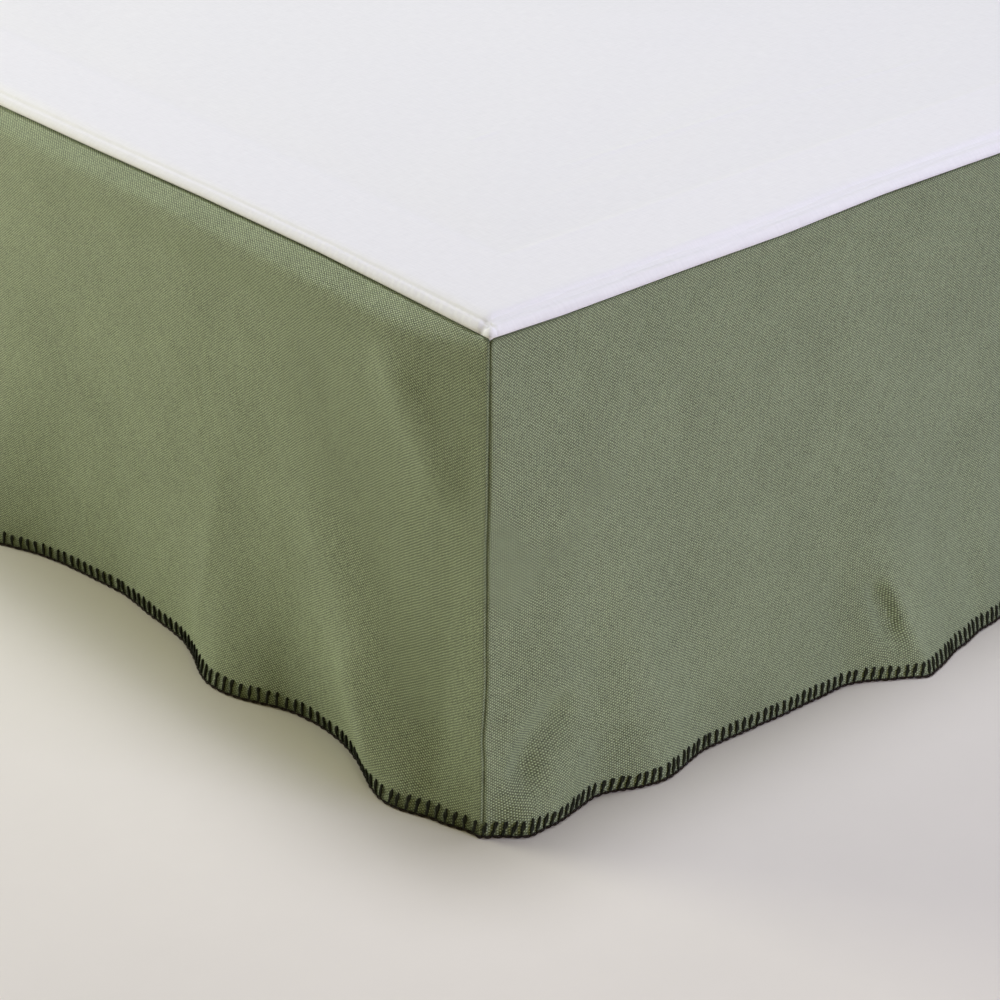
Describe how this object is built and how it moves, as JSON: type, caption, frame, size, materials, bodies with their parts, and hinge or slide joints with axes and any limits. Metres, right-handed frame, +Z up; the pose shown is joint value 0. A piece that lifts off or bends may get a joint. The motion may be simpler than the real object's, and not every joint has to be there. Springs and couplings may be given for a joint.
{
  "type": "bed skirt on bed base",
  "caption": "White cotton deck with sage canvas panels that hang in soft folds to the floor over a plain upholstered bed base on legs.",
  "frame": {"origin": "on the floor, at the middle of the bounding box of the skirt and its base", "axes": "+Z up, -Y towards the foot of the bed, +X towards the right-hand long side seen from the foot"},
  "size_m": [1.54, 2.0934, 0.4075],
  "materials": {
    "sage_canvas": "matt plain-weave cotton canvas",
    "white_cotton": "plain woven cotton sheeting",
    "base_upholstery": "light grey woven upholstery",
    "leg_beech": "clear satin lacquer"
  },
  "bodies": {
    "root": {"skirt_deck": "white_cotton", "skirt_panel_left": "sage_canvas", "skirt_panel_foot": "sage_canvas", "skirt_panel_right": "sage_canvas", "bed_base": "base_upholstery", "bed_leg_foot_left": "leg_beech", "bed_leg_foot_right": "leg_beech", "bed_leg_head_left": "leg_beech", "bed_leg_head_right": "leg_beech"}
  },
  "joints": []
}
